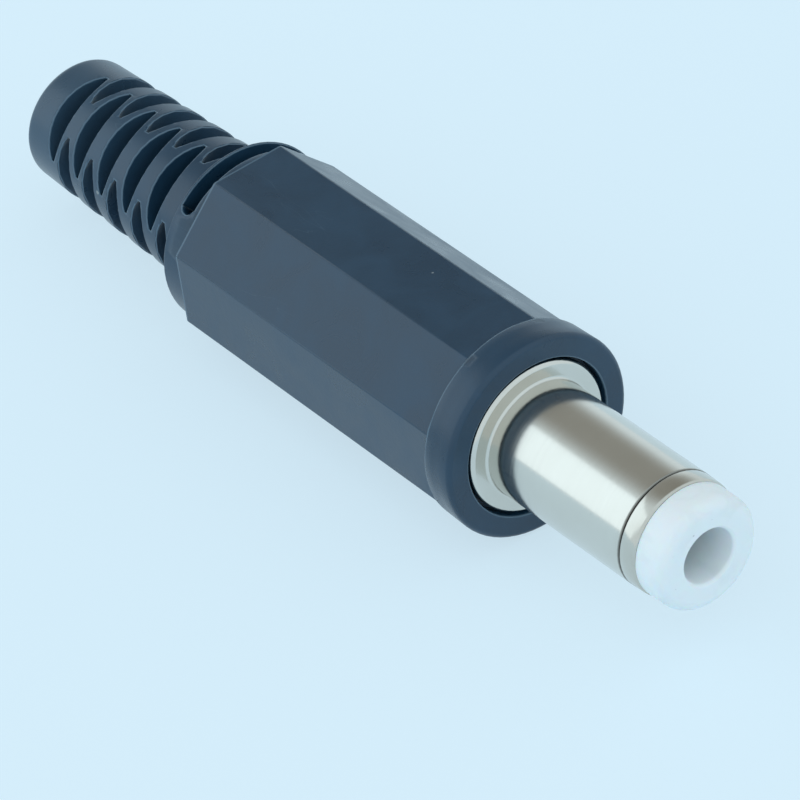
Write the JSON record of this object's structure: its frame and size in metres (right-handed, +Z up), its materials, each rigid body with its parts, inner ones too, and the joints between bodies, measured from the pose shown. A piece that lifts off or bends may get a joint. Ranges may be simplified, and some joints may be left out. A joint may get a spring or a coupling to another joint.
{
  "type": "dc barrel plug",
  "caption": "Straight barrel power plug, 5.5 by 2.5 mm, with an octagonal screw-on cover and a slotted strain relief for the cable.",
  "frame": {"origin": "on the plug's axis, in the plane of the cover's front face, which meets the front of the jack", "axes": "+X along the plug's axis towards the tip, +Z up through the upper flat of the octagon, with the plug lying on the opposite flat"},
  "size_m": [0.0444, 0.0096, 0.0096],
  "materials": {
    "cover_plastic": "satin",
    "plated_brass": "polished",
    "tip_plastic": "gloss",
    "contact_plating": "satin",
    "bush_board": "matte",
    "lug_plating": "satin"
  },
  "bodies": {
    "cover": {"cover": "cover_plastic"},
    "contacts": {"sleeve": "plated_brass", "insulator": "tip_plastic", "centre_contact": "contact_plating", "rear_bush": "bush_board", "outer_lug": "lug_plating", "centre_lug": "lug_plating"}
  },
  "joints": [
    {"name": "cover_slide", "type": "slide", "parent": "cover", "child": "contacts", "axis": [1, 0, 0], "range_m": [0, 0.016]}
  ]
}
